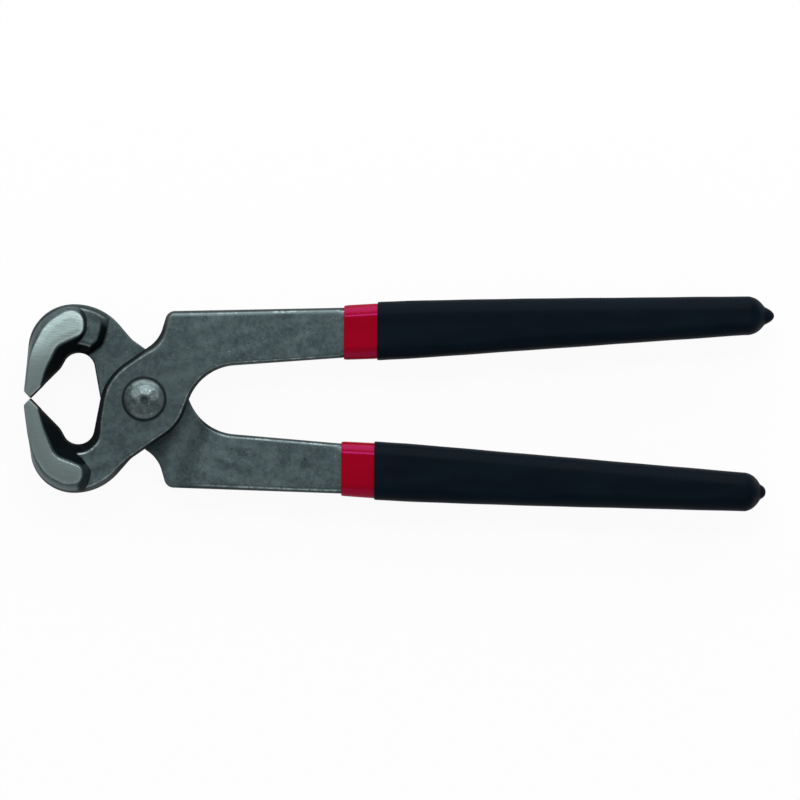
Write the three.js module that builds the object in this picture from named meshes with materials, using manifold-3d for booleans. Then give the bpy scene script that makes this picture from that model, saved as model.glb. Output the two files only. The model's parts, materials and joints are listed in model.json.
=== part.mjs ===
// Carpenter's pincers: two like forgings cross at a lap joint on one rivet. Each handle arm carries a
// red first dip of plastic and a black second dip over it. Lengths are in millimetres.
//
// Working frame of the forgings: the rivet is the Z axis, the handles point along +X, and the two laps
// meet at z = 0. Every shape is drawn for the front half, whose arm lies at +Y and whose jaw lies at -Y.
// The back half is the same forging turned half a turn about X.

import * as THREE from 'three';
import { mergeVertices } from 'three/addons/utils/BufferGeometryUtils.js';
import Module from 'manifold-3d';

const wasm = await Module();
wasm.setup();

const DEGREE = Math.PI / 180;

// Joint
const SWING = 30 * DEGREE;            // how far the front half turns from shut to fully open
const LAP_THICKNESS = 6.5;            // each half at the rivet
const LAP_CLEARANCE = 0.3;            // between the two laps
const WAIST_ANGLE = 35 * DEGREE;      // slope of the waist that crosses the rivet
const WAIST_WIDTH = 21.9;             // width of the waist, square to its slope
const POCKET_CLEARANCE = 0.6;         // between the swinging waist and the edge of the pocket for it
const POCKET_DRAFT = 2;               // how far the pocket walls lean out over their depth
const JAW_WALL_REACH = 16.9;          // rivet to the pocket wall on the jaw side
const JAW_WALL_ANGLE = 22.4 * DEGREE; // slope of that wall's normal
const EDGE_ROUND = 1;                 // rounding of the forged edges

// Rivet
const SHANK_RADIUS = 4;
const BORE_CLEARANCE = 0.1;
const RIVET_HEAD_RADIUS = 5.6;
const RIVET_HEAD_HEIGHT = 2.1;
const RIVET_FLAT_RADIUS = 1.2;        // small flat left by the setting punch
const RIVET_SEAT_CLEARANCE = 0.1;     // under each head

// Jaws
const JAW_WIDTH = 20;                 // length of the nipping edge, along the rivet
const JAW_BELLY = 8;                  // middle part of that width, where the jaw keeps its full outline
const NIP_REACH = 30.5;               // rivet to nipping edge
const NIP_CLEARANCE = 0.2;            // between the two nipping edges when shut
const NOSE_BEVEL = 1.75;              // outer bevel of the nipping edge at the middle of its length
const EAR_NOSE_BEVEL = 1.2;           // the same bevel at the sides of the jaw
const HEAD_HALF_WIDTH = 25.2;         // centre line to the back of a jaw
const CLAW_BACK_RADIUS = 12.1;        // bend of the jaw's back
const CLAW_FRONT_LEAN = 5 * DEGREE;   // lean of the jaw's front
const NECK_BACK_X = 11.7;             // corner of the jaw's back and the neck, before it is rounded
const NECK_BACK_RADIUS = 15.6;
const NECK_ANGLE = 49 * DEGREE;       // slope of the neck's outer edge
const NECK_FILLET = 2;
const EYE_HALF_WIDTH = 12.15;         // centre line to the top of the eye between the jaws
const EYE_BACK_REACH = 11.9;          // rivet to the back of the eye
const EYE_BACK_ANGLE = 79.4 * DEGREE;
const EYE_FLANK_ANGLE = 60.7 * DEGREE;
const EYE_RADIUS = 4.2;
const EYE_SHELF = 1.2;                // how far the neck stands back from the top of the eye
const EYE_BEVEL_LENGTH = 11.2;        // length of the flat inner bevel behind the nipping edge
const EYE_BEVEL_FILLET = 2;

// Ground faces on the sides of the jaws, each a crescent with a round end
const EAR_INSET = 1.6;                // crescent to the back of the jaw
const EAR_END_X = 16.2;               // rivet to the round end
const EAR_LENGTH_Y = 17.55;           // centre line to the corner of the round end, on the eye side
const EAR_FRONT_LEAN = 3.5 * DEGREE;  // lean of the outer edge at the nose
const EAR_OUTER_ANGLE = 12 * DEGREE;  // slope of the outer edge at the round end
const EAR_OUTER_RADIUS = 14.5;
const EAR_END_OUTER_RADIUS = 2.5;
const EAR_END_INNER_RADIUS = 2;
const EAR_INNER_SETBACK = 6.9;        // nipping edge to the bend of the crescent's inner edge, along X
const EAR_INNER_Y = 14.8;             // centre line to that bend
const EAR_INNER_RADIUS = 4;
const EAR_INNER_LEAN = 22 * DEGREE;   // lean of the crescent's inner edge
const EAR_BEVEL_FILLET = 1;
const EAR_ROOT_X = 12;                // where the jaw's flank reaches at the middle of its width
const EAR_ROOT_OUTER_RADIUS = 9;
const EAR_ROOT_INNER_RADIUS = 2;

// Handle arms
const SHOULDER = new THREE.Vector2(5.9, 23.45);
const SHOULDER_ANGLE = 73.6 * DEGREE;
const SHOULDER_RADIUS = 1.8;
const SHOULDER_FILLET = 9;
const WAIST_BACK_RADIUS = 16;         // bend of the waist into the back of the eye
const WAIST_FRONT_RADIUS = 12;        // bend of the waist into the crotch
const CROTCH_REACH = 11.75;           // rivet to the crotch between the handles
const CROTCH_ANGLE = 69 * DEGREE;
const CROTCH_RADIUS = 13.9;
const ARM_ROOT_INNER = 8.5;           // centre line to the arm's inner edge, at the crotch
const ARM_BEND_X = 100;               // where the arm's outer edge bends slightly
const ARM_BEND_OUTER = 26;
const ARM_TIP_X = 160;
const ARM_TIP_OUTER = 27.15;
const ARM_TIP_INNER = 19.85;
const ARM_THIN_X = 42;                // where the arm has thinned from the lap's thickness
const ARM_HALF_THICKNESS = 4.5;
const ARM_TIP_HALF_THICKNESS = 3.9;
const ARM_TIP_ROUND = 2.5;

// Dips
const RED_START_X = 52.3;
const RED_LIP_WALL = 0.5;
const RED_WALL = 0.8;
const BLACK_START_X = 61.9;
const BLACK_LIP_WALL = 0.4;
const BLACK_WALL = 0.55;
const LIP_TAPER = 8;                  // length over which a dip grows from its lip to its full wall
const DIP_CLEARANCE = 0.1;            // between a dip and what it coats
const DIP_CORNER_ROUND = 1.6;         // extra rounding of each dip's corners
const END_ROUND = 4;                  // rounding of a grip's end, before its drip nib
const NIB_RADIUS = 2.7;
const UPPER_END_WALL = 4.6;           // both dips together, past the arm's tip
const UPPER_NIB_LENGTH = 3.2;
const LOWER_END_WALL = 3.8;
const LOWER_NIB_LENGTH = 2.1;
const NIB_BULGE = 0.6;                // how far along a nib its bulge lies
const NIB_BULGE_SHARE = 0.6;          // share of the nib's radius there
const NIB_TIP_SHARE = 0.15;           // share of the nib's radius at its tip

// Facets
const ARC_STEPS = 8;
const CORNER_STEPS = 3;
const ROUND_SIDES = 24;
const TAPER_STEPS = 6;
const ROUND_SHARE = 0.9;              // most of a narrow section that its corners may round
const STRAIGHT_SHARE = 0.99;          // most of a side that the arcs at its ends may take up

// Lines and outlines

// A line through a point at an angle.
function line(x, y, angle) {
  return { point: new THREE.Vector2(x, y), along: new THREE.Vector2(Math.cos(angle), Math.sin(angle)) };
}

// The point where two lines cross.
function meet(first, second) {
  const apart = second.point.clone().sub(first.point);
  const distance = apart.cross(second.along) / first.along.cross(second.along);
  return first.point.clone().addScaledVector(first.along, distance);
}

function corner(point, radius = 0) {
  return { point, radius };
}

// A closed outline through corners, each rounded by an arc that touches both of its sides. Where two arcs
// would meet on a side, both shrink until they leave a little of it straight.
function roundedOutline(corners) {
  const count = corners.length;
  const bends = corners.map(({ point, radius }, index) => {
    const back = corners[(index + count - 1) % count].point.clone().sub(point);
    const ahead = corners[(index + 1) % count].point.clone().sub(point);
    const halfAngle = back.angleTo(ahead) / 2;
    return { point, back, ahead, halfAngle, tangent: radius / Math.tan(halfAngle) };
  });
  const room = bends.map((bend, index) => {
    const next = bends[(index + 1) % count];
    return (STRAIGHT_SHARE * bend.ahead.length()) / Math.max(bend.tangent + next.tangent, Number.EPSILON);
  });
  return bends.flatMap(({ point, back, ahead, halfAngle, tangent }, index) => {
    if (tangent === 0) return [point.clone()];
    const length = tangent * Math.min(1, room[index], room[(index + count - 1) % count]);
    const radius = length * Math.tan(halfAngle);
    const inwards = back.clone().normalize().add(ahead.clone().normalize()).normalize();
    const middle = point.clone().addScaledVector(inwards, radius / Math.sin(halfAngle));
    const start = point.clone().addScaledVector(back.clone().normalize(), length);
    const turn = (Math.PI - 2 * halfAngle) * Math.sign(ahead.cross(back));
    return Array.from({ length: ARC_STEPS + 1 }, (unused, step) => (
      start.clone().rotateAround(middle, (turn * step) / ARC_STEPS)));
  });
}

// Solids

function solidFrom(geometry) {
  const bare = geometry.clone();
  bare.deleteAttribute('normal');
  bare.deleteAttribute('uv');
  const merged = mergeVertices(bare, 1e-5);
  const vertProperties = new Float32Array(merged.attributes.position.array);
  const triVerts = new Uint32Array(merged.index.array);
  return new wasm.Manifold(new wasm.Mesh({ numProp: 3, vertProperties, triVerts }));
}

function geometryFrom(solid) {
  const mesh = solid.getMesh();
  const geometry = new THREE.BufferGeometry();
  geometry.setAttribute('position', new THREE.BufferAttribute(mesh.vertProperties, 3));
  geometry.setIndex(new THREE.BufferAttribute(mesh.triVerts, 1));
  const faceted = geometry.toNonIndexed();
  faceted.computeVertexNormals();
  return faceted;
}

// A solid through sections of equally many points. The sections run anticlockwise in the first two axes
// of place() and are stacked along its third axis. The end sections are closed by flat faces.
function loftSolid(sections, place) {
  const sides = sections[0].length;
  const positions = sections.flatMap((section, index) => section.flatMap((point) => place(point, index)));
  const faces = [];
  for (let low = 0; low + 1 < sections.length; low += 1) {
    for (let side = 0; side < sides; side += 1) {
      const here = low * sides + side;
      const next = low * sides + ((side + 1) % sides);
      faces.push(here, next, next + sides, here, next + sides, here + sides);
    }
  }
  const top = (sections.length - 1) * sides;
  THREE.ShapeUtils.triangulateShape(sections[0], []).forEach(([a, b, c]) => faces.push(a, c, b));
  THREE.ShapeUtils.triangulateShape(sections.at(-1), []).forEach(([a, b, c]) => {
    faces.push(top + a, top + b, top + c);
  });
  const geometry = new THREE.BufferGeometry();
  geometry.setAttribute('position', new THREE.Float32BufferAttribute(positions, 3));
  geometry.setIndex(faces);
  return solidFrom(geometry);
}

// A flat plate between two heights with its edges rounded.
function plateSolid(outline, low, high, round) {
  const geometry = new THREE.ExtrudeGeometry(new THREE.Shape(outline), {
    depth: high - low - 2 * round,
    bevelThickness: round,
    bevelSize: round,
    bevelOffset: -round,
    bevelSegments: CORNER_STEPS,
  });
  geometry.translate(0, 0, low + round);
  return solidFrom(geometry);
}

// Straight lines of the forging's outline
const waistOffset = WAIST_WIDTH / 2 / Math.cos(WAIST_ANGLE);
const nipY = -NIP_CLEARANCE / 2;
const noseX = -NIP_REACH - NOSE_BEVEL;
const upperWaist = line(0, waistOffset, WAIST_ANGLE);
const lowerWaist = line(0, -waistOffset, WAIST_ANGLE);
const shoulderEdge = line(SHOULDER.x, SHOULDER.y, SHOULDER_ANGLE);
const eyeBack = line(-EYE_BACK_REACH, 0, EYE_BACK_ANGLE);
const eyeTop = line(0, -EYE_HALF_WIDTH, 0);
const crotchEdge = line(CROTCH_REACH, 0, CROTCH_ANGLE);
const jawBack = line(0, -HEAD_HALF_WIDTH, 0);
const jawFront = line(noseX, nipY - NOSE_BEVEL, Math.PI / 2 + CLAW_FRONT_LEAN);
const neckEdge = line(-NECK_BACK_X, -HEAD_HALF_WIDTH, NECK_ANGLE);
const bevelStep = EYE_BEVEL_LENGTH * Math.SQRT1_2;
const bevelEnd = new THREE.Vector2(-NIP_REACH + bevelStep, nipY - bevelStep);
const eyeFlank = line(bevelEnd.x, bevelEnd.y, Math.PI - EYE_FLANK_ANGLE);
const crotchCorner = new THREE.Vector2(
  CROTCH_REACH + ARM_ROOT_INNER / Math.tan(CROTCH_ANGLE),
  ARM_ROOT_INNER,
);

// Edges of the handle arm at a given x

const armInnerSlope = (ARM_TIP_INNER - ARM_ROOT_INNER) / (ARM_TIP_X - crotchCorner.x);
const innerTurn = CROTCH_ANGLE - Math.atan(armInnerSlope);
const innerTangent = CROTCH_RADIUS * Math.tan(innerTurn / 2);
const innerArcEndX = crotchCorner.x + innerTangent * Math.cos(Math.atan(armInnerSlope));
const innerArcCentre = new THREE.Vector2(
  innerArcEndX + CROTCH_RADIUS * Math.sin(Math.atan(armInnerSlope)),
  ARM_ROOT_INNER + armInnerSlope * (innerArcEndX - crotchCorner.x)
    - CROTCH_RADIUS * Math.cos(Math.atan(armInnerSlope)),
);

function armInner(x) {
  if (x >= innerArcEndX) return ARM_ROOT_INNER + armInnerSlope * (x - crotchCorner.x);
  const across = innerArcCentre.x - x;
  return innerArcCentre.y + Math.sqrt(CROTCH_RADIUS ** 2 - across ** 2);
}

function armOuter(x) {
  if (x < ARM_BEND_X) {
    return THREE.MathUtils.mapLinear(x, SHOULDER.x, ARM_BEND_X, SHOULDER.y, ARM_BEND_OUTER);
  }
  return THREE.MathUtils.mapLinear(x, ARM_BEND_X, ARM_TIP_X, ARM_BEND_OUTER, ARM_TIP_OUTER);
}

const armStartX = crotchCorner.x;
const plateEndX = armStartX + EDGE_ROUND;

function armHalfThickness(x) {
  if (x > ARM_THIN_X) {
    return THREE.MathUtils.mapLinear(
      x, ARM_THIN_X, ARM_TIP_X, ARM_HALF_THICKNESS, ARM_TIP_HALF_THICKNESS);
  }
  const thinned = THREE.MathUtils.smoothstep(x, plateEndX, ARM_THIN_X);
  return THREE.MathUtils.lerp(LAP_THICKNESS, ARM_HALF_THICKNESS, thinned);
}

// A rounded rectangle in Y and Z round the arm at x, grown by an offset, rounded further and narrowed.
function armSection(x, offset, extraRound, narrow) {
  const middleY = (armOuter(x) + armInner(x)) / 2;
  const halfY = narrow((armOuter(x) - armInner(x)) / 2 + offset);
  const halfZ = narrow(armHalfThickness(x) + offset);
  const radius = Math.min(EDGE_ROUND + offset + extraRound, ROUND_SHARE * Math.min(halfY, halfZ));
  const quarters = [[1, 1], [-1, 1], [-1, -1], [1, -1]];
  return quarters.flatMap(([sideY, sideZ], quarter) => {
    const y = middleY + sideY * (halfY - radius);
    const z = sideZ * (halfZ - radius);
    return Array.from({ length: CORNER_STEPS + 1 }, (unused, step) => {
      const angle = (quarter + step / CORNER_STEPS) * (Math.PI / 2);
      return new THREE.Vector2(y + radius * Math.cos(angle), z + radius * Math.sin(angle));
    });
  });
}

// Places along the arm where its sections are drawn, in order
const armStations = [armStartX, innerArcEndX, ARM_THIN_X, ARM_BEND_X];
armStations.push(RED_START_X, RED_START_X + LIP_TAPER, BLACK_START_X, BLACK_START_X + LIP_TAPER);
for (let step = 1; step < TAPER_STEPS; step += 1) {
  armStations.push(THREE.MathUtils.lerp(armStartX, innerArcEndX, step / TAPER_STEPS));
  armStations.push(THREE.MathUtils.lerp(innerArcEndX, ARM_THIN_X, step / TAPER_STEPS));
}
armStations.sort((first, second) => first - second);

// The arm, or a layer round it, from startX to an end that is rounded up to tipX. A layer with a nib
// narrows to the nib at tipX, and the nib then tapers to its own tip.
function armSolid({ startX, tipX, tipRound, offsetAt, extraRound = 0, nibLength = 0 }) {
  const roundX = tipX - tipRound;
  const endHalf = (half) => (nibLength > 0 ? NIB_RADIUS : half - tipRound);
  const places = [startX, ...armStations.filter((x) => x > startX && x < roundX)].map((x) => (
    { x, narrow: (half) => half }));
  for (let step = 0; step <= CORNER_STEPS; step += 1) {
    const angle = ((step / CORNER_STEPS) * Math.PI) / 2;
    places.push({
      x: roundX + tipRound * Math.sin(angle),
      narrow: (half) => THREE.MathUtils.lerp(half, endHalf(half), 1 - Math.cos(angle)),
    });
  }
  if (nibLength > 0) {
    places.push({ x: tipX + NIB_BULGE * nibLength, narrow: () => NIB_BULGE_SHARE * NIB_RADIUS });
    places.push({ x: tipX + nibLength, narrow: () => NIB_TIP_SHARE * NIB_RADIUS });
  }
  const sections = places.map(({ x, narrow }) => armSection(x, offsetAt(x), extraRound, narrow));
  return loftSolid(sections, (point, index) => [places[index].x, point.x, point.y]);
}

// One forging: arm, waist and jaw, cut away behind the waist for the other half
function forging() {
  const farX = innerArcEndX + EDGE_ROUND;
  const neckTop = line(0, -EYE_HALF_WIDTH - EYE_SHELF, 0);
  const eyeCorner = meet(eyeBack, neckTop);
  const eyeTangent = EYE_RADIUS * Math.tan(EYE_BACK_ANGLE / 2);
  const neckTangent = NECK_BACK_RADIUS * Math.tan(NECK_ANGLE / 2);
  const outline = roundedOutline([
    corner(new THREE.Vector2(farX, armInner(farX))),
    corner(new THREE.Vector2(farX, armOuter(farX))),
    corner(SHOULDER, SHOULDER_RADIUS),
    corner(meet(shoulderEdge, upperWaist), SHOULDER_FILLET),
    corner(meet(upperWaist, eyeBack), WAIST_BACK_RADIUS),
    corner(eyeCorner, EYE_RADIUS),
    corner(new THREE.Vector2(eyeCorner.x - eyeTangent - 2 * EDGE_ROUND, eyeCorner.y)),
    corner(new THREE.Vector2(-NECK_BACK_X - neckTangent - 4 * EDGE_ROUND, -HEAD_HALF_WIDTH + EDGE_ROUND)),
    corner(new THREE.Vector2(-NECK_BACK_X, -HEAD_HALF_WIDTH), NECK_BACK_RADIUS),
    corner(meet(neckEdge, lowerWaist), NECK_FILLET),
    corner(meet(lowerWaist, crotchEdge), WAIST_FRONT_RADIUS),
    corner(crotchCorner, CROTCH_RADIUS),
  ]);
  const arm = armSolid({
    startX: armStartX,
    tipX: ARM_TIP_X,
    tipRound: ARM_TIP_ROUND,
    offsetAt: () => 0,
  });
  return plateSolid(outline, -LAP_THICKNESS, LAP_THICKNESS, EDGE_ROUND)
    .subtract(beyondPlate(farX))
    .add(arm)
    .add(claw())
    .subtract(lapPocket())
    .subtract(bore());
}

// What the flat plate leaves to the arm
function beyondPlate(farX) {
  const length = farX - plateEndX + EDGE_ROUND;
  const box = new THREE.BoxGeometry(length, 4 * HEAD_HALF_WIDTH, 4 * LAP_THICKNESS);
  box.translate(plateEndX + length / 2, 0, 0);
  return solidFrom(box);
}

// The jaw, widest in outline at its middle and narrowing to a ground crescent on each side
function claw() {
  const nip = new THREE.Vector2(-NIP_REACH, nipY);
  const nose = new THREE.Vector2(noseX, nipY - NOSE_BEVEL);
  const earNose = new THREE.Vector2(-NIP_REACH - EAR_NOSE_BEVEL, nipY - EAR_NOSE_BEVEL);
  const earEnd = new THREE.Vector2(-EAR_END_X, -HEAD_HALF_WIDTH + EAR_INSET);
  const earFront = line(earNose.x, earNose.y, Math.PI / 2 + EAR_FRONT_LEAN);
  const earOuter = line(earEnd.x, earEnd.y, -EAR_OUTER_ANGLE);
  const earBend = new THREE.Vector2(-NIP_REACH + EAR_INNER_SETBACK, -EAR_INNER_Y);
  const earInner = line(earBend.x, earBend.y, Math.PI / 2 + EAR_INNER_LEAN);
  const bevel = line(nip.x, nip.y, -Math.PI / 4);
  const middle = roundedOutline([
    corner(nip),
    corner(nose),
    corner(meet(jawFront, jawBack), CLAW_BACK_RADIUS),
    corner(new THREE.Vector2(-EAR_ROOT_X, -HEAD_HALF_WIDTH), EAR_ROOT_OUTER_RADIUS),
    corner(new THREE.Vector2(-EAR_ROOT_X, -EYE_HALF_WIDTH), EAR_ROOT_INNER_RADIUS),
    corner(meet(eyeTop, eyeFlank), EYE_RADIUS),
    corner(bevelEnd, EYE_BEVEL_FILLET),
  ]);
  const ear = roundedOutline([
    corner(nip),
    corner(earNose),
    corner(meet(earFront, earOuter), EAR_OUTER_RADIUS),
    corner(earEnd, EAR_END_OUTER_RADIUS),
    corner(new THREE.Vector2(-EAR_END_X, -EAR_LENGTH_Y), EAR_END_INNER_RADIUS),
    corner(earBend, EAR_INNER_RADIUS),
    corner(meet(earInner, bevel), EAR_BEVEL_FILLET),
  ]);
  const heights = [-JAW_WIDTH / 2, -JAW_BELLY / 2, JAW_BELLY / 2, JAW_WIDTH / 2];
  return loftSolid([ear, middle, middle, ear], (point, index) => [point.x, point.y, heights[index]]);
}

// The space behind the waist in which the other half lies and swings
function lapPocket() {
  const far = 4 * HEAD_HALF_WIDTH;
  const radius = Math.max(CROTCH_REACH, WAIST_WIDTH / 2) + POCKET_CLEARANCE;
  const armSide = Math.PI / 2 - WAIST_ANGLE - SWING;
  const arcStart = armSide - Math.PI / 3;
  const outline = [];
  for (let step = 0; step <= 2 * ARC_STEPS; step += 1) {
    const angle = THREE.MathUtils.lerp(arcStart, armSide, step / (2 * ARC_STEPS));
    outline.push(new THREE.Vector2(radius * Math.cos(angle), radius * Math.sin(angle)));
  }
  const armWall = line(outline.at(-1).x, outline.at(-1).y, armSide + Math.PI / 2);
  const jawSide = Math.PI + JAW_WALL_ANGLE;
  const jawWall = line(
    JAW_WALL_REACH * Math.cos(jawSide), JAW_WALL_REACH * Math.sin(jawSide), jawSide + Math.PI / 2);
  outline.push(armWall.point.clone().addScaledVector(armWall.along, far));
  outline.push(jawWall.point.clone().addScaledVector(jawWall.along, -far));
  outline.push(meet(jawWall, line(outline[0].x, outline[0].y, Math.PI / 2)));
  const drop = LAP_THICKNESS + LAP_CLEARANCE / 2;
  const geometry = new THREE.ExtrudeGeometry(new THREE.Shape(outline), {
    depth: JAW_WIDTH,
    bevelThickness: drop,
    bevelSize: POCKET_DRAFT,
    bevelSegments: 1,
  });
  geometry.translate(0, 0, LAP_CLEARANCE / 2 - drop - JAW_WIDTH);
  return solidFrom(geometry);
}

function bore() {
  const radius = SHANK_RADIUS + BORE_CLEARANCE;
  const cylinder = new THREE.CylinderGeometry(radius, radius, 4 * LAP_THICKNESS, ROUND_SIDES);
  cylinder.rotateX(Math.PI / 2);
  return solidFrom(cylinder);
}

// The rivet: a shank with a low domed head at each end
function rivet() {
  const seat = LAP_THICKNESS + RIVET_SEAT_CLEARANCE;
  const dome = [];
  for (let step = 0; step <= ARC_STEPS; step += 1) {
    const angle = ((step / ARC_STEPS) * Math.PI) / 2;
    dome.push(new THREE.Vector2(
      RIVET_FLAT_RADIUS + (RIVET_HEAD_RADIUS - RIVET_FLAT_RADIUS) * Math.cos(angle),
      seat + RIVET_HEAD_HEIGHT * Math.sin(angle),
    ));
  }
  const upper = [new THREE.Vector2(SHANK_RADIUS, seat), ...dome, new THREE.Vector2(0, dome.at(-1).y)];
  const lower = upper.map((point) => new THREE.Vector2(point.x, -point.y)).reverse();
  const geometry = new THREE.LatheGeometry([...lower, ...upper], ROUND_SIDES);
  geometry.rotateX(Math.PI / 2);
  return solidFrom(geometry);
}

// Dips

function wallAt(x, startX, lipWall, fullWall) {
  const grown = THREE.MathUtils.clamp((x - startX) / LIP_TAPER, 0, 1);
  return THREE.MathUtils.lerp(lipWall, fullWall, grown);
}

function redInside() {
  return DIP_CLEARANCE;
}

function redOutside(x) {
  return redInside() + wallAt(x, RED_START_X, RED_LIP_WALL, RED_WALL);
}

function blackInside(x) {
  return redOutside(x) + DIP_CLEARANCE;
}

function blackOutside(x) {
  return blackInside(x) + wallAt(x, BLACK_START_X, BLACK_LIP_WALL, BLACK_WALL);
}

const redTipX = ARM_TIP_X + DIP_CLEARANCE + RED_WALL;
const redTipRound = ARM_TIP_ROUND + RED_WALL;

function redSleeve() {
  const outside = armSolid({
    startX: RED_START_X,
    tipX: redTipX,
    tipRound: redTipRound,
    offsetAt: redOutside,
    extraRound: DIP_CORNER_ROUND / 2,
  });
  const inside = armSolid({
    startX: RED_START_X - RED_WALL,
    tipX: ARM_TIP_X + DIP_CLEARANCE,
    tipRound: ARM_TIP_ROUND,
    offsetAt: redInside,
  });
  return outside.subtract(inside);
}

function blackGrip(endWall, nibLength) {
  const outside = armSolid({
    startX: BLACK_START_X,
    tipX: ARM_TIP_X + endWall,
    tipRound: END_ROUND,
    offsetAt: blackOutside,
    extraRound: DIP_CORNER_ROUND,
    nibLength,
  });
  const inside = armSolid({
    startX: BLACK_START_X - BLACK_WALL,
    tipX: redTipX + DIP_CLEARANCE,
    tipRound: redTipRound,
    offsetAt: blackInside,
    extraRound: DIP_CORNER_ROUND / 2,
  });
  return outside.subtract(inside);
}

// Assembly

const finishes = {
  steel: { color: 0x4b5759, roughness: 0.5, metalness: 0.9 },
  red: { color: 0xa8040f, roughness: 0.35, metalness: 0 },
  black: { color: 0x10171d, roughness: 0.6, metalness: 0 },
};

function piece(name, solid, finish, turned = false) {
  const mesh = new THREE.Mesh(geometryFrom(solid), new THREE.MeshStandardMaterial(finishes[finish]));
  mesh.name = name;
  mesh.rotation.x = turned ? Math.PI : 0;
  return mesh;
}

const half = forging();
const sleeve = redSleeve();
const pincers = new THREE.Group();
pincers.add(
  piece('front_half', half, 'steel'),
  piece('back_half', half, 'steel', true),
  piece('rivet', rivet(), 'steel'),
  piece('upper_red_sleeve', sleeve, 'red'),
  piece('lower_red_sleeve', sleeve, 'red', true),
  piece('upper_black_grip', blackGrip(UPPER_END_WALL, UPPER_NIB_LENGTH), 'black'),
  piece('lower_black_grip', blackGrip(LOWER_END_WALL, LOWER_NIB_LENGTH), 'black', true),
);

// The origin is under the middle of the pincers as they lie on their side, on the line of the rivet.
const box = new THREE.Box3().setFromObject(pincers);
pincers.position.set(-(box.min.x + box.max.x) / 2, 0, -box.min.z);

export default pincers;
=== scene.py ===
import json
import math

import bmesh
import bpy
import numpy as np
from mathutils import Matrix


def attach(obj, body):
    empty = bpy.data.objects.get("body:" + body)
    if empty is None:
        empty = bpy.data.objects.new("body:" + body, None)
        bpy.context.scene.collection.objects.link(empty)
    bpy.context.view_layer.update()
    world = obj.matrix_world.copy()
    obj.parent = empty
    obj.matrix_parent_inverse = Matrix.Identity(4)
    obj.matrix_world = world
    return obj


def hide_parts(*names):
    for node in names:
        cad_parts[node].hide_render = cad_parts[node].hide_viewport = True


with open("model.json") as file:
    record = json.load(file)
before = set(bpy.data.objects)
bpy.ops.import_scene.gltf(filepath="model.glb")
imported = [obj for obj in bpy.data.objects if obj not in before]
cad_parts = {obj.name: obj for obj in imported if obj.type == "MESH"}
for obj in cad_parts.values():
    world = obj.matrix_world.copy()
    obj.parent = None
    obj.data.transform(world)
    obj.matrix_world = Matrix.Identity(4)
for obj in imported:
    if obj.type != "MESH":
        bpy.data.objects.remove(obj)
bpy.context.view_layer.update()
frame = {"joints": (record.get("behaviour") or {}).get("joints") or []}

# Carpenter's pincers: two like forged halves cross on one rivet, and each handle arm is dipped twice.
# Shapes are worked out in millimetres about the rivet: handles along +X, the front half's arm at +Y,
# the two laps meeting at z = 0. Each shape is drawn for the front half; the back half is the same
# forging turned half a turn about X.

MM = 0.001
RIVET_CENTRE = np.array(frame["joints"][0]["pos_m"])

# Joint
LAP_THICKNESS = 6.5
LAP_GAP = 0.15  # each lap to the plane where the laps meet
LAP_EDGE = 0.3  # small bevel round the lap's face
WAIST_SLOPE = 35
WAIST_WIDTH = 21.9
POCKET_DRAFT = 2.2  # width of the pocket's leaning wall beside the jaw
POCKET_RAMP = 22.0  # length of the soft ramp from the pocket to the arm
RAMP_FOOT = (-1.0, 9.0)  # where the ramp's hollow foot starts and ends

# Outline of a half
SHOULDER = (5.9, 23.55)
SHOULDER_SLOPE = 73.6
SHOULDER_RADIUS = 2.6
SHOULDER_FILLET = 9
WAIST_BACK_RADIUS = 16  # bend of the waist into the back of the eye
WAIST_FRONT_RADIUS = 12  # bend of the waist into the crotch
EYE_BACK = (-11.9, 0.0)
EYE_BACK_SLOPE = 79.4
EYE_HALF_WIDTH = 12.15
EYE_RADIUS = 4.2
CLAW_EYE_RADIUS = 3.2  # the same bend in the claw's own outline
CROTCH = (11.75, 0.0)
CROTCH_SLOPE = 69
CROTCH_RADIUS = 13.9
NECK_BACK = (-11.7, -25.2)
NECK_SLOPE = 49
NECK_BACK_RADIUS = 15.6
NECK_FILLET = 6
NIP = (-30.5, -0.03)
NOSE_BEVEL = 1.75
NOSE_RADIUS = 0.15
CRESCENT_NOSE_BEVEL = 1.2  # the nose's bevel on the crescent
CRESCENT_NOSE_RADIUS = 0.1
EYE_BEVEL_LENGTH = 11.2
EYE_BEVEL_FILLET = 5
EYE_FLANK_SLOPE = 119.3
ARM_ROOT_INNER = 8.5
ARM_BEND = (100.0, 26.1)
ARM_BEND_RADIUS = 300
ARM_TIP_OUTER = (160.0, 27.15)
ARM_TIP_INNER = (160.0, 19.85)

# Thickness
JAW_HALF_WIDTH = 10.0
JAW_BELLY = 4.0  # half of the middle part of the jaw, where it keeps its full outline
CLAW_EDGE = 0.35  # width over which the claw rises from its outline
CRESCENT_CROWN = 0.06
CROWN_WIDTH = 2.2
FALL_START = 4.5  # how far from the nip the crescent starts to fall
FALL_BEND = 12  # length over which it bends until it falls evenly
BACK_FLANK_CURVE = 0.7  # how full the claw's flank is towards the jaw's back
ARM_PLATE_END = 16.0
ARM_THIN_X = 42.0
ARM_HALF_THICKNESS = 4.5
ARM_TIP_HALF_THICKNESS = 3.9

# Rims: slopes of the side walls in degrees, what each place takes off them, and rounding
WALL_LEAN = 86
WAIST_LEAN = 7.0
SHOULDER_LEAN = 3.0
NECK_LEAN = 5.0
EYE_LEAN = 4.5
DEEP_EYE_LEAN = 5.0
UNDER_EYE_LEAN = 8.0  # the same two on the lower sheet
UNDER_DEEP_EYE_LEAN = 13.0
RIM_ROUND = 0.9
SHARP_RIM = 0.4  # how much less rounding the eye and the waist have
ARM_RIM = 0.5  # how much more the arm's outer edge has

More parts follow.
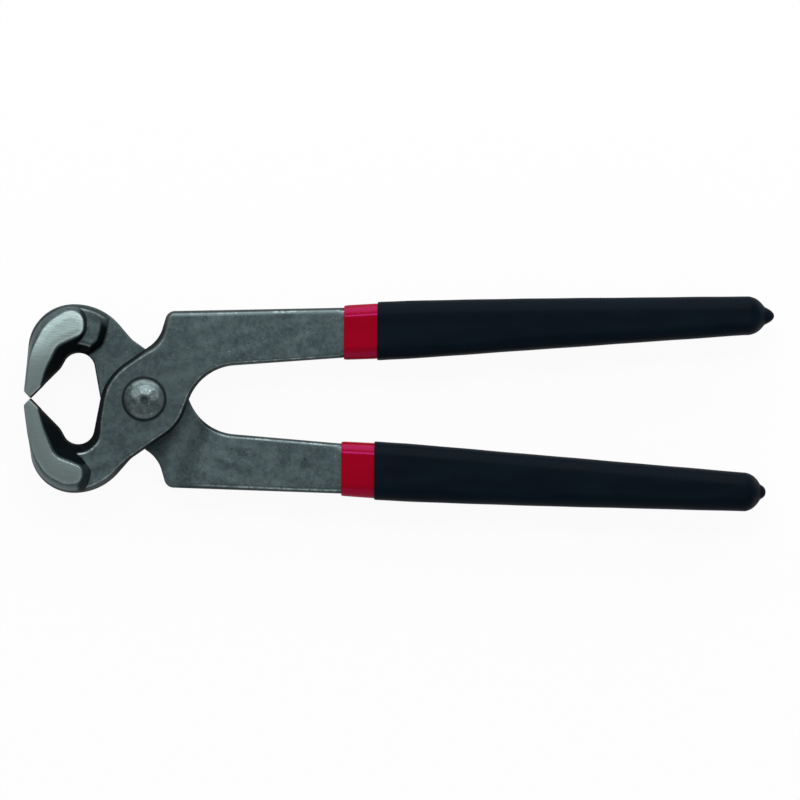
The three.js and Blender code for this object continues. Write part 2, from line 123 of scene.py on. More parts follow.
# Places on a half, as the start and end of a soft change
EDGE_SHARE = (0.4, 0.6)  # from one edge of the body to the other
EYE_X = (9.0, 12.5)
DEEP_EYE_Y = (4.0, 11.0)
WAIST_END_X = 8.0
WAIST_FADE = (0, 3.0)
NECK_X = (3.0, 8.0)
SHOULDER_X = (-1.0, 3.0)
ARM_X = (4, 10)
DIP_LEAD = (-1.5, 0.5)  # from the start of the red dip
ROUGH_DEPTH = (0.2, 1)  # from the edge, where the forge waves set in
WAVE_HEIGHT = 0.018
FORGE_WAVES = ((0.9, 0.5, 0.0), (0.55, -1.1, 1.3), (-0.3, 1.4, 4.0))  # along X, along Y, phase
SMOOTH_RADIUS = (6.5, 9.0)  # round the rivet, where the waves set in
SMOOTH_ARM_X = (44, 49)  # where they fade out before the dips

# Wear, grinding, painted shade and darkening round the joint on a half: places, widths and shares
PLATE_STEP = (-0.4, 0.4)  # from the plate's face to the claw, by height
GROUND_FADE = (0.0, 0.25)
NIP_GROUND = (2.2, 2.6)  # radius of the bare steel round the nip
WEAR_PLACE = 0.35  # share of the rim's rounding where the wear is brightest
WEAR_WIDTH = 0.2
ARM_WEAR_WIDTH = 0.05
CRESCENT_WEAR = 0.7
CRESCENT_WEAR_DEPTH = 0.4
CRESCENT_WEAR_WIDTH = 0.35
CRESCENT_WEAR_Y = (9.0, 17.0)
EYE_SIDE_SHARE = (0.45, 0.55)
EYE_WALL_DROP = (0.15, 0.7)  # below the plate's face
EYE_WALL_X = (9.4, 10.4)
PLATE_DROP = (-0.6, -0.1)  # from the plate's face, where the plate hides the claw
PLATE_ABOVE_CLAW = (0.0, 0.3)
CLAW_TOP = 0.97  # share of the claw's rise where its dark flank ends
CLAW_TOP_FADE = (0.0, 0.12)
BEVEL_SHADE = 0.35
BEVEL_SHADE_DEPTH = (0.15, 0.45)
END_SHADE = 0.8
END_SHADE_X = (-18.0, -16.6)
END_TOP = 0.99
END_TOP_FADE = (0.0, 0.15)
END_HEIGHT = 0.3  # how far below the plate's face the claw's end still shows
SIDE_SHADE = 0.6  # how strongly painted shade darkens the side walls
INNER_SIDE_SHADE = 0.9  # the same near the joint
INNER_SIDE_RADIUS = (17, 25)
WALL_FADE = 0.5  # share of a wall's width where its painted shade starts to fade
JOINT_DARKENING = 0.16  # darker round the joint
JOINT_RADIUS = (11, 27)
SEAT_SHADOW = 0.95  # painted shadow round the rivet's head
SEAT_WIDTH = 0.9
JAW_WALL_FOOT = (0.01, 0.12)
JAW_WALL_TOP = 0.995
JAW_WALL_TOP_FADE = (0.0, 0.12)
JAW_WALL_BACK = (0.8, 3.5)  # from the jaw's back, where the wall's painted shade sets in
POCKET_SHADE = 0.5  # painted shadow on the pocket's floor beside the other half's boss
POCKET_SHADE_EDGE = (-3.0, 1.5)
POCKET_SHADE_X = (-4, 2)
UNDER_WALL = (0.02, 0.4)  # share out of the pocket, where the lower sheet's walls turn dark
UNDER_WEAR = (0.5, 1.0)  # the same where its edges are worn

# Dips
RED_START_X = 53.0
BLACK_START_X = 61.9
DIP_CLEARANCE = 0.1
LIP_TAPER = 8.0
RED_LIP = 0.5
RED_WALL = 0.8
RED_CORNER = 3.2
BEVEL_POWER = 0.4  # how straight the red dip's corners are
BEVEL_DROP = 0.3  # how much lower than wide they are
ARM_CORNER = 2.3  # rounding of the arm under the dips
LIP_ROUND = 0.8  # length of the lip's rounded outside
RED_TIP_X = 160.9
BLACK_LIP = 0.4
BLACK_WALL = 0.55
BLACK_CORNER = 3.6
LOWER_RED_LEAD = 0.45  # how much earlier the lower arm's dips start
LOWER_BLACK_LEAD = 0.55
# Where a grip's shoulder starts, its length, where the nib starts, its radius, its tip and its fullness
UPPER_END = (160.3, 5.2, 164.3, 2.75, 167.79, 0.48)
LOWER_END = (159.6, 5.0, 163.6, 2.4, 165.89, 0.4)
NIB_OVERLAP = 2  # how far the nib reaches back into the shoulder
END_BLEND = 6  # power of the mean that joins them
SAG = 0.03  # slow waves along a grip
SAG_WAVES = (0.31, 0.11)  # how fast they turn, in radians per millimetre
CORNER_COLUMNS = 12
SIDE_COLUMNS = 8
INSIDE_ROWS = 40
INSIDE_SETBACK = 0.5  # from the lip's edge to the inside's first ring
LIP_ROWS = 10
LIP_STEP = 0.1  # from the lip's rounding to the outside's first ring
RED_ROWS = 90
GRIP_ROWS = 110
END_ROWS = 70
FULL_CORNER = 0.999  # most of a half-width that a corner may take
FAR = 1000.0

# Rivet
RIVET_COLUMNS = 128
DOME_ROWS = 44
SHANK_RADIUS = 4.0
HEAD_RADIUS = 5.6
SEAT_RADIUS = 4.8  # a ring under the head, between its edge and the shank
HEAD_HEIGHT = 2.1
HEAD_SEAT = 6.6
DOME_FULLNESS = 2.4
DOME_EDGE = 0.7
HAMMER_BLOWS = (  # bearing in degrees, reach from the middle, depth
    (80, 2.6, 0.12), (20, 3.0, 0.1), (140, 2.9, 0.1),
    (200, 3.2, 0.08), (255, 2.4, 0.12), (310, 3.1, 0.08),
)
SLOPE_STEP = 0.05  # to each side, for the slope of the dome
PUNCH_MARK = (0.1, -0.35)
PUNCH_DEPTH = 0.3
PUNCH_SPREAD = 0.9
PUNCH_SHADE = 0.7
PUNCH_SHADE_RADIUS = 1.5
PUNCH_SHADE_FADE = (0, 0.6)
HEAD_EDGE_SHADE = 0.9
HEAD_EDGE_RADIUS = (4.9, 5.6)

# Finish
STEEL_DARK = (0.058, 0.083, 0.089, 1)
STEEL_LIGHT = (0.1, 0.138, 0.143, 1)
STEEL_FLECK = (0.19, 0.24, 0.245, 1)
STEEL_WORN = (0.4, 0.485, 0.49, 1)
# black of the scale in the pits, and of the painted shade
SCALE_AND_SHADE_BLACK = (0.002, 0.0042, 0.005, 1)
RIVET_DARK = (0.08, 0.108, 0.112, 1)
RIVET_LIGHT = (0.15, 0.19, 0.192, 1)
GROUND_DULL = (0.2, 0.265, 0.258, 1)
GROUND_BRIGHT = (0.26, 0.335, 0.328, 1)
RED_DEEP = (0.26, 0.0001, 0.0002, 1)
RED_PALE = (0.285, 0.0001, 0.0004, 1)
RED_GLOSS = (1, 0.1, 0.7, 1)
BLACK_DEEP = (0.0009, 0.004, 0.0082, 1)
BLACK_PALE = (0.0016, 0.0056, 0.011, 1)
FLECK_SHARE = 0.75
PIT_SHARE = 0.5
WORN_LEAST = 0.28  # wear that is left between the bright spots of an edge
GROUND_ROUGH = 0.3
GRINDING_RELIEF = 0.9
# roughness where shade is painted
SHADE_ROUGH = 0.8
STEEL_METAL = 0.85
STEEL_SPECULAR = 0.03
STEEL_RELIEF = 0.35
STEEL_RELIEF_HEIGHT = 0.06
PEEL_RELIEF = 0.12
PEEL_RELIEF_HEIGHT = 0.05
FLOOR_WHITE = 0.94  # share of the floor that shows plain white
FLOOR_SIZE = 6  # metres
FLOOR_COLOUR = (0.9, 0.9, 0.9, 1)
FLOOR_ROUGH = 0.9
STUDIO_GREY = (0.34, 0.34, 0.34, 1)
LENS = 300
FIELD = 0.21333  # width of the picture, in metres
FIELD_HEIGHT = 0.012  # height over the floor where it is that wide
PICTURE_CENTRE = (0.0003, 0.0003)
CAMERA_TURN = math.radians(0.45)


# Plan drawing

FINE_STEPS = 6000
NO_LENGTH = 1e-12  # stands for zero in a division


def unit(vector):
    return vector / np.linalg.norm(vector)


def ray(point, degrees):
    """A line as a point and a direction."""
    angle = math.radians(degrees)
    return np.array(point, float), np.array((math.cos(angle), math.sin(angle)))


def meet(first, second):
    """Where two lines cross: solve point + share * direction for both."""
    share = np.linalg.solve(np.column_stack((first[1], -second[1])), second[0] - first[0])
    return first[0] + share[0] * first[1]


def filleted(corners, arc_points=24):
    """A path through corners (point, radius): each inner corner is an arc that touches both its sides."""
    points = [np.array(point, float) for point, radius in corners]
    path = [points[0][None]]
    for before, here, after, radius in zip(points, points[1:], points[2:], [c[1] for c in corners[1:-1]]):
        back, ahead = unit(before - here), unit(after - here)
        half = math.acos(np.clip(back @ ahead, -1, 1)) / 2
        middle = here + unit(back + ahead) * radius / math.sin(half)
        start = here + back * radius / math.tan(half) - middle
        turn = (math.pi - 2 * half) * np.sign(np.cross(ahead, back))
        angles = math.atan2(start[1], start[0]) + turn * np.linspace(0, 1, arc_points)
        path.append(middle + radius * np.column_stack((np.cos(angles), np.sin(angles))))
    path.append(points[-1][None])
    return np.concatenate(path)


def lengths_along(path):
    return np.concatenate(([0], np.cumsum(np.linalg.norm(np.diff(path, axis=0), axis=1))))


def point_at(path, lengths):
    """Points on a path at the given lengths along it."""
    whole = lengths_along(path)
    return np.column_stack([np.interp(lengths, whole, path[:, axis]) for axis in (0, 1)])


def nearest_length(path, point):
    """How far along a path its nearest point to a given point lies."""
    fine = np.linspace(0, lengths_along(path)[-1], FINE_STEPS)
    return fine[np.argmin(np.linalg.norm(point_at(path, fine) - point, axis=1))]


def distance(points, path, blocks=60):
    """The shortest distance from each point to a path, worked out for one block of points at a time."""
    start, step = path[:-1], np.diff(path, axis=0)
    length_squared = (step**2).sum(1) + NO_LENGTH
    shortest = []
    for block in np.array_split(points, blocks):
        offset = block[:, None] - start
        share = np.clip((offset * step).sum(2) / length_squared, 0, 1)
        shortest.append(np.linalg.norm(offset - share[..., None] * step, axis=2).min(1))
    return np.concatenate(shortest)


def inside(points, outline, blocks=60):
    """Whether each point lies in a closed outline: a ray to its right crosses it an odd number of times."""
    low, high = outline, np.roll(outline, -1, axis=0)
    found = []
    for block in np.array_split(points, blocks):
        x, y = block[:, :1], block[:, 1:]
        spans = (low[:, 1] > y) != (high[:, 1] > y)
        rise = np.where(high[:, 1] == low[:, 1], NO_LENGTH, high[:, 1] - low[:, 1])
        crossing = low[:, 0] + (y - low[:, 1]) / rise * (high[:, 0] - low[:, 0])
        found.append((spans & (x < crossing)).sum(1) % 2 == 1)
    return np.concatenate(found)


def smooth(value, low=0.0, high=1.0):
    """0 below low, 1 above high and an S-curve between."""
    share = np.clip((value - low) / (high - low), 0, 1)
    return share * share * (3 - 2 * share)


# Outline of a half

waist_offset = WAIST_WIDTH / 2 / math.cos(math.radians(WAIST_SLOPE))
upper_waist = ray((0, waist_offset), WAIST_SLOPE)
lower_waist = ray((0, -waist_offset), WAIST_SLOPE)
eye_back = ray(EYE_BACK, EYE_BACK_SLOPE)
eye_top = ray((0, -EYE_HALF_WIDTH), 0)
bevel_step = EYE_BEVEL_LENGTH * math.sqrt(0.5)
bevel_end = np.array((NIP[0] + bevel_step, NIP[1] - bevel_step))
eye_flank = ray(bevel_end, EYE_FLANK_SLOPE)
nose = np.array((NIP[0] - NOSE_BEVEL, NIP[1] - NOSE_BEVEL))
jaw_back = ray((0, NECK_BACK[1]), 0)
neck_edge = ray(NECK_BACK, NECK_SLOPE)
crotch_edge = ray(CROTCH, CROTCH_SLOPE)
crotch_corner = meet(crotch_edge, ray((0, ARM_ROOT_INNER), 0))

EYE_SIDE = filleted([
    (ARM_TIP_OUTER, 0),
    (ARM_BEND, ARM_BEND_RADIUS),
    (SHOULDER, SHOULDER_RADIUS),
    (meet(ray(SHOULDER, SHOULDER_SLOPE), upper_waist), SHOULDER_FILLET),
    (meet(upper_waist, eye_back), WAIST_BACK_RADIUS),
    (meet(eye_back, eye_top), EYE_RADIUS),
    (meet(eye_top, eye_flank), EYE_RADIUS),
    (bevel_end, EYE_BEVEL_FILLET),
    (NIP, 0),
])
# Where the pocket's floor ends: beside the arm it leaves room for the other half's waist to swing
POCKET_ARM_EDGE = filleted([
    ((12.1, -9), 0), ((11.6, 2.2), 8), ((8.1, 10.0), 8), ((5.9, 16.4), 20), ((3.0, 26.5), 0),
])
POCKET_JAW_EDGE = filleted([
    ((-9.0, -28), 0), ((-9.9, -18.5), 12), ((-11.1, -14.2), 4), ((-17.5, -9.4), 0),
])


class Jaw:
    """The outlines of one jaw, which its grinding sets: its front's slope and rounding, the end of its claw,
    the corners of its crescent and how steeply the crescent falls towards the jaw's back."""

    def __init__(self, front_slope, front_round, claw_end, crescent, crescent_fall):
        front_corner = (meet(ray(nose, front_slope), jaw_back), front_round)
        self.crescent_fall = crescent_fall
        self.back_side = filleted([
            (ARM_TIP_INNER, 0),
            (crotch_corner, CROTCH_RADIUS),
            (meet(lower_waist, crotch_edge), WAIST_FRONT_RADIUS),
            (meet(neck_edge, lower_waist), NECK_FILLET),
            (NECK_BACK, NECK_BACK_RADIUS),
            front_corner,
            (nose, NOSE_RADIUS),
            (NIP, 0),
        ])
        self.claw = filleted([
            (NIP, 0),
            (nose, NOSE_RADIUS),
            front_corner,
            *claw_end,
            (meet(eye_top, eye_flank), CLAW_EYE_RADIUS),
            (bevel_end, EYE_BEVEL_FILLET),
            (NIP, 0),
        ])
        self.crescent = filleted([
            (NIP, 0),
            ((NIP[0] - CRESCENT_NOSE_BEVEL, NIP[1] - CRESCENT_NOSE_BEVEL), CRESCENT_NOSE_RADIUS),
            *crescent,
            (NIP, 0),
        ])


FRONT_JAW = Jaw(
    front_slope=98.2,
    front_round=11.6,
    crescent_fall=0.02,
    claw_end=[
        ((-14.6, NECK_BACK[1]), 3), ((-13.0, -19.3), 2.5), ((-15.3, -14.6), 4),
        ((-17.6, -EYE_HALF_WIDTH), 0.3),
    ],
    crescent=[
        ((-31.3, -7.5), 20), ((-29.2, -15.0), 14), ((-26.0, -20.3), 8), ((-20.8, -22.9), 5),
        ((-16.3, -22.5), 2.4), ((-16.3, -18.2), 1.9), ((-23.7, -15.5), 5), ((-26.7, -8.2), 15),
        ((-28.25, -2.25), 0.3),
    ],
)
BACK_JAW = Jaw(
    front_slope=95.0,
    front_round=12.1,
    crescent_fall=0.11,
    claw_end=[
        ((-15.0, NECK_BACK[1]), 4), ((-15.0, -17.6), 3), ((-16.7, -13.9), 2), ((-17.4, -EYE_HALF_WIDTH), 0.3),
    ],
    crescent=[
        ((-30.2, -12.3), 20), ((-26.1, -20.0), 11), ((-20.6, -23.5), 4.5), ((-16.2, -23.2), 3.4),
        ((-16.2, -17.3), 2.3), ((-23.2, -14.1), 5), ((-26.4, -7.4), 15), ((-27.6, -2.93), 0.3),
    ],
)

# Pairs of points across the body, from the arm's tip to the nip, and how many rows lie between pairs
RIBS = [
    (ARM_TIP_OUTER, ARM_TIP_INNER, 12),
    ((62, 25.0), (62, 12.3), 8),
    ((50, 24.6), (50, 11.3), 70),
    ((22, 23.9), (24, 9.2), 40),
    ((7.5, 23.5), (16.4, 6.6), 30),
    ((4.6, 19), (13, 2.8), 32),
    ((0, 13.4), (11.2, -1.5), 38),
    ((-6.5, 8.3), (5.8, -9.0), 36),
    ((-11.2, 2), (-1.5, -14.2), 40),
    ((-13.2, -6.5), (-6.5, -19.2), 26),
    ((-14.8, -10.5), (-10.5, -22.9), 34),
    ((-18, -12.1), (-17, -25.2), 38),
    ((-20.8, -10.6), (-25, -23.3), 32),
    ((-22.6, -8), (-29.2, -19.5), 40),
    ((-26.5, -4.1), (-31.6, -11), 30),
    ((-29.3, -1.3), (-32.2, -3), 12),
    ((-29.9, -0.7), (-32.1, -1.7), 12),
    (NIP, NIP, 0),
]
COLUMNS = 84
EDGE_CROWDING = 1.6
TINY = 1e-9
ON_EDGE = 1e-6


def edge_rows(path, side):
    """Points along one edge, evenly spread between the ribs that it shares with the other edge."""
    stops = [nearest_length(path, np.array(rib[side], float)) for rib in RIBS]
    lengths = [np.linspace(a, b, rib[2], endpoint=False) for a, b, rib in zip(stops, stops[1:], RIBS)]
    return point_at(path, np.concatenate(lengths + [stops[-1:]]))


def plan_grid(jaw):
    """Rows of points from edge to edge of the body, crowded at the edges as tanh does."""
    share = np.linspace(-1, 1, COLUMNS)
    share = 0.5 + 0.5 * np.tanh(EDGE_CROWDING * share) / math.tanh(EDGE_CROWDING)
    eye_edge, back_edge = edge_rows(EYE_SIDE, 0), edge_rows(jaw.back_side, 1)
    return eye_edge[:, None] + share[None, :, None] * (back_edge - eye_edge)[:, None]


# Heights of a half


def arm_half_thickness(x):
    thinning = smooth(x, ARM_PLATE_END, ARM_THIN_X)
    thick = LAP_THICKNESS + (ARM_HALF_THICKNESS - LAP_THICKNESS) * thinning
    tip_share = np.clip((x - ARM_THIN_X) / (ARM_TIP_OUTER[0] - ARM_THIN_X), 0, 1)
    return thick + (ARM_TIP_HALF_THICKNESS - ARM_HALF_THICKNESS) * tip_share


def rim(depth, base, height, lean, radius):
    """A wall that rises from base at its edge, leaning inwards, and rounds over into a flat at height.
    depth is how far a point lies from the edge, and lean is the wall's slope in degrees."""
    slope = np.radians(lean)
    centre = (height - base) / np.tan(slope) + radius * np.tan(slope / 2)
    arc = height - radius + np.sqrt(np.clip(radius**2 - (depth - centre) ** 2, 0, None))
    wall = base + depth * np.tan(slope)
    return np.where(depth > centre, height, np.where(depth > centre - radius * np.sin(slope), arc, wall))


def beyond(points, path):
    """How far points lie to the right of a path, and below zero to its left."""
    start, step = path[:-1], np.diff(path, axis=0)
    nearest = np.linalg.norm(points[:, None] - (start + step / 2), axis=2).argmin(1)
    offset, along = points - start[nearest], step[nearest]
    side = np.sign(offset[:, 0] * along[:, 1] - offset[:, 1] * along[:, 0])
    return side * distance(points, path)


def pocket_share(points):
    """0 on the pocket's floor and 1 past it: a ramp beside the arm, steep at its foot and easing out, and a
    short leaning wall beside the jaw."""
    past_arm = beyond(points, POCKET_ARM_EDGE)
    ramp = np.clip(past_arm / POCKET_RAMP, 0, 1)
    wall = -beyond(points, POCKET_JAW_EDGE)
    return (1 - (1 - ramp) ** 2) * smooth(past_arm, *RAMP_FOOT), smooth(wall / POCKET_DRAFT)


def unevenness(x, y):
    """Slow forge waves, in millimetres: a sum of sines, faded out round the rivet and under the dips."""
    waves = sum(np.sin(along * x + across * y + phase) for along, across, phase in FORGE_WAVES)
    fade = smooth(np.hypot(x, y), *SMOOTH_RADIUS) * (1 - smooth(x, *SMOOTH_ARM_X))
    return WAVE_HEIGHT * waves * fade


class Half:
    """One forged half over its plan: how its points lie to its edges, its claw and its pocket, and the
    heights of its two sheets. Each sheet is the higher of a flat plate with rounded rims and a claw that
    rises to a crescent, and the lower sheet is cut by the pocket."""

    def __init__(self, jaw):
        self.plan = plan_grid(jaw)
        self.points = self.plan.reshape(-1, 2)
        self.x, self.y = self.points.T
        self.from_rivet = np.hypot(self.x, self.y)
        self.to_eye = distance(self.points, EYE_SIDE)
        self.to_back = distance(self.points, jaw.back_side)
        self.depth = np.minimum(self.to_eye, self.to_back)
        self.eye_near = self.to_back / np.maximum(self.to_eye + self.to_back, TINY)
        self.flat = arm_half_thickness(self.x)
        self.arm_pocket, self.jaw_pocket = pocket_share(self.points)
        self.beside = np.maximum(self.arm_pocket, self.jaw_pocket)
        self.base = (LAP_GAP + LAP_EDGE) * (1 - self.beside)
        self.set_rims()
        self.set_claw(jaw)
        self.set_heights()

    def set_rims(self):
        """How far the side walls lean and how round their rims are, place by place."""
        x, eye_side = self.x, smooth(self.eye_near, *EDGE_SHARE)
        self.outer = smooth(1 - self.eye_near, *EDGE_SHARE)
        in_eye = smooth(-x, *EYE_X) * eye_side
        deep_eye = smooth(-self.y, *DEEP_EYE_Y)
        in_waist = smooth(WAIST_END_X - x, *WAIST_FADE) * eye_side
        in_neck = smooth(-x, *NECK_X) * self.outer
        at_shoulder = smooth(x, *SHOULDER_X)
        waist_lean = (WAIST_LEAN + SHOULDER_LEAN * at_shoulder) * in_waist
        eye_lean = in_eye * (EYE_LEAN + DEEP_EYE_LEAN * deep_eye)
        self.upper_lean = WALL_LEAN - waist_lean - NECK_LEAN * in_neck - eye_lean
        self.lower_lean = WALL_LEAN - in_eye * (UNDER_EYE_LEAN + UNDER_DEEP_EYE_LEAN * deep_eye)
        self.arm_back = smooth(x, *ARM_X) * eye_side
        rim_round = RIM_ROUND - SHARP_RIM * np.maximum(in_eye, in_waist) + ARM_RIM * self.arm_back
        under_dip = smooth(x, RED_START_X + DIP_LEAD[0], RED_START_X + DIP_LEAD[1])
        self.rim_round = rim_round + (ARM_CORNER - rim_round) * under_dip

    def set_claw(self, jaw):
        """The claw's height: it rises from the claw's outline to the crescent, which is nearly flat and falls
        towards the jaw's back."""
        self.to_claw = distance(self.points, jaw.claw) * inside(self.points, jaw.claw)
        self.in_crescent = inside(self.points, jaw.crescent)
        self.to_crescent = distance(self.points, jaw.crescent)
        self.rise = self.to_claw / np.maximum(self.to_claw + self.to_crescent * ~self.in_crescent, TINY)
        flank = 1 - (1 - self.rise) ** (1 + BACK_FLANK_CURVE * self.outer)
        crown = CRESCENT_CROWN * (1 - smooth(self.to_crescent * self.in_crescent, 0, CROWN_WIDTH))
        bend = np.clip((-self.y - FALL_START) / FALL_BEND, 0, 1)
        past_bend = np.clip(-self.y - FALL_START - FALL_BEND, 0, None)
        crown = crown + jaw.crescent_fall * (FALL_BEND * (bend**3 - bend**4 / 2) + past_bend)
        claw = JAW_BELLY + (JAW_HALF_WIDTH - JAW_BELLY - crown) * flank
        self.claw = claw * np.sqrt(np.clip(self.to_claw / CLAW_EDGE, 0, 1))

    def set_heights(self):
        """The heights of the upper and of the lower sheet."""
        wave = unevenness(self.x, self.y) * smooth(self.depth, *ROUGH_DEPTH)
        self.plate = rim(self.depth, self.base, self.flat, self.upper_lean, self.rim_round)
        self.upper = np.maximum(self.plate + wave, self.claw)
        pocket_flat = np.where(self.x > 0, np.minimum(self.flat, ARM_HALF_THICKNESS), self.flat)
        lower_plate = rim(self.depth, 0, pocket_flat, self.lower_lean, self.rim_round)
        lower_full = np.maximum(lower_plate + wave, self.claw)
        floor = -LAP_GAP - LAP_EDGE * np.clip(1 - self.depth / LAP_EDGE, 0, 1)
        self.lower = -(floor + (lower_full - floor) * self.beside)
        on_edge = self.depth < ON_EDGE
        self.upper[on_edge] = self.base[on_edge]
        self.lower[on_edge] = self.base[on_edge]

    def looped(self, above, below):
        """Rings round the body from values on the upper and on the lower sheet, which share the edges."""
        shape = (*self.plan.shape[:2], *above.shape[1:])
        return np.concatenate((above.reshape(shape), below.reshape(shape)[:, -2:0:-1]), axis=1)

    def rings(self):
        """The surface as rings, the first of them closed flat at the arm's tip."""
        above = np.column_stack((self.points, self.upper))
        below = np.column_stack((self.points, self.lower))
        rings = self.looped(above, below)
        rings[0, :, 2] = 0
        return rings

    def bare_masks(self):
        """Where the steel is ground and where its edges are worn."""
        from_nip = np.hypot(self.x - NIP[0], self.y - NIP[1])
        nip_edge = 1 - smooth(from_nip, *NIP_GROUND)
        ground = np.maximum(self.in_crescent * smooth(self.to_crescent, *GROUND_FADE), nip_edge)
        place = (self.depth - self.edge_line()) / (WEAR_WIDTH + ARM_WEAR_WIDTH * self.arm_back)
        worn = np.exp(-(place**2)) * self.on_plate()
        place = (self.to_crescent - CRESCENT_WEAR_DEPTH) / CRESCENT_WEAR_WIDTH
        crescent_rim = np.exp(-(place**2)) * self.in_crescent * smooth(-self.y, *CRESCENT_WEAR_Y)
        return ground, np.maximum(worn, CRESCENT_WEAR * crescent_rim)

    def edge_line(self):
        """How deep in from the outline the plate's bright edge lies."""
        return (self.flat - self.base) / np.tan(np.radians(self.upper_lean)) + WEAR_PLACE * self.rim_round

    def on_plate(self):
        return 1 - smooth(self.claw - self.flat, *PLATE_STEP)

    def wall_masks(self):
        """Painted shade on the walls, of the upper and of the lower sheet."""
        in_claw = self.to_claw > 0
        eye_wall = smooth(self.eye_near, *EYE_SIDE_SHARE) * smooth(self.flat - self.upper, *EYE_WALL_DROP)
        eye_wall = eye_wall * smooth(-self.x, *EYE_WALL_X)
        hidden = smooth(self.plate - self.flat, *PLATE_DROP)
        hidden = hidden * smooth(self.plate - self.claw, *PLATE_ABOVE_CLAW)
        claw_wall = (1 - hidden) * (1 - self.outer) * in_claw * smooth(CLAW_TOP - self.rise, *CLAW_TOP_FADE)
        # painted shade on the side walls, strongest near the joint
        near_joint = 1 - smooth(self.from_rivet, *INNER_SIDE_RADIUS)
        side_shade = SIDE_SHADE + (INNER_SIDE_SHADE - SIDE_SHADE) * near_joint
        edge_line = self.edge_line()
        side_wall = side_shade * (1 - smooth(self.depth, WALL_FADE * edge_line, edge_line)) * self.on_plate()
        above = np.maximum.reduce((eye_wall, claw_wall, side_wall))
        return above, above * smooth(self.beside, *UNDER_WALL)

    def shade_masks(self):
        """All the painted shade and shadow, with the darkening round the joint, of the upper and of the lower
        sheet.
        """
        above_wall, below_wall = self.wall_masks()
        bevel = BEVEL_SHADE * (1 - self.outer) * self.in_crescent
        bevel = bevel * (1 - smooth(self.to_claw, *BEVEL_SHADE_DEPTH))
        end = END_SHADE * smooth(self.x, *END_SHADE_X) * (self.to_claw > 0)
        end = end * smooth(END_TOP - self.rise, *END_TOP_FADE) * (self.claw > self.flat - END_HEIGHT)
        # darker round the joint
        joint = JOINT_DARKENING * (1 - smooth(self.from_rivet, *JOINT_RADIUS))
        # painted shadow of the rivet's head on the boss
        seat = SEAT_SHADOW * (1 - smooth(self.from_rivet, HEAD_RADIUS, HEAD_RADIUS + SEAT_WIDTH))
        # painted shade on the pocket's leaning wall beside the jaw
        jaw_wall = smooth(self.jaw_pocket, *JAW_WALL_FOOT)
        jaw_wall = jaw_wall * smooth(JAW_WALL_TOP - self.jaw_pocket, *JAW_WALL_TOP_FADE)
        jaw_wall = jaw_wall * smooth(self.to_back, *JAW_WALL_BACK)
        # painted shadow on the pocket's floor, fading out from beside the other half's boss
        on_floor = 1 - smooth(beyond(self.points, POCKET_ARM_EDGE), *POCKET_SHADE_EDGE)
        pocket_floor = POCKET_SHADE * on_floor * smooth(self.x, *POCKET_SHADE_X)
        above = np.maximum.reduce((bevel, end, above_wall, seat, joint))
        return above, np.maximum.reduce((bevel, end, below_wall, jaw_wall, pocket_floor))

    def masks(self):
        """The masks of ground and worn steel and of painted shade, as rings."""
        ground, worn = self.bare_masks()
        return {
            "ground": self.looped(ground, ground),
            "worn": self.looped(worn, worn * smooth(self.beside, *UNDER_WEAR)),
            "shade": self.looped(*self.shade_masks()),
        }


# Meshes

MERGE_DISTANCE = 1e-6  # metres
LEAST_EDGE = 1e-7


def ring_faces(rows, columns):
    """Quads between neighbouring rings, each ring closed on itself."""
    row, column = np.meshgrid(np.arange(rows - 1), np.arange(columns), indexing="ij")
    following = (column + 1) % columns
    corners = (row * columns + column, row * columns + following)
    corners += ((row + 1) * columns + following, (row + 1) * columns + column)
    return np.stack([corner.ravel() for corner in corners], axis=1)


def turned_over(points):
    """Half a turn about X."""
    return points * (1, -1, -1)


def mesh_piece(name, rings, material, masks=None, turned=False):
    """A smooth closed mesh object from rings in millimetres about the rivet."""
    rows, columns = rings.shape[:2]
    points = turned_over(rings.reshape(-1, 3)) if turned else rings.reshape(-1, 3)
    mesh = bpy.data.meshes.new(name)
    mesh.from_pydata(RIVET_CENTRE + points * MM, [], ring_faces(rows, columns))
    for mask, values in (masks or {}).items():
        attribute = mesh.attributes.new(mask, "FLOAT", "POINT")
        attribute.data.foreach_set("value", values.ravel().astype(np.float32))
    work = bmesh.new()
    work.from_mesh(mesh)
    bmesh.ops.remove_doubles(work, verts=work.verts, dist=MERGE_DISTANCE)
    bmesh.ops.dissolve_degenerate(work, edges=work.edges, dist=LEAST_EDGE)
    bmesh.ops.recalc_face_normals(work, faces=work.faces)
    work.to_mesh(mesh)
    work.free()
    mesh.shade_smooth()
    mesh.materials.append(material)
    piece = bpy.data.objects.new(name, mesh)
    bpy.context.scene.collection.objects.link(piece)
    return piece


# Dips and rivet


def arm_outer(x):
    return np.interp(x, *zip(SHOULDER, ARM_BEND, ARM_TIP_OUTER))


def arm_inner(x):
    return np.interp(x, *zip(crotch_corner, ARM_TIP_INNER))


def section_template():
    """Round a rectangle with rounded corners: for each column, a point of the rectangle that the corners'
    centres span, from -1 to 1 each way, and the direction from there to the surface."""
    core, outwards = [], []
    for quarter, corner in enumerate(((1, 1), (-1, 1), (-1, -1), (1, -1))):
        angles = (quarter + np.linspace(0, 1, CORNER_COLUMNS)) * math.pi / 2
        core.append(np.tile(corner, (CORNER_COLUMNS, 1)))
        outwards.append(np.column_stack((np.cos(angles), np.sin(angles))))
        following = ((-1, 1), (-1, -1), (1, -1), (1, 1))[quarter]
        share = np.linspace(0, 1, SIDE_COLUMNS + 2)[1:-1, None]
        core.append(np.array(corner) + share * (np.array(following) - corner))
        outwards.append(np.tile(outwards[-1][-1], (SIDE_COLUMNS, 1)))
    return np.concatenate(core), np.concatenate(outwards)


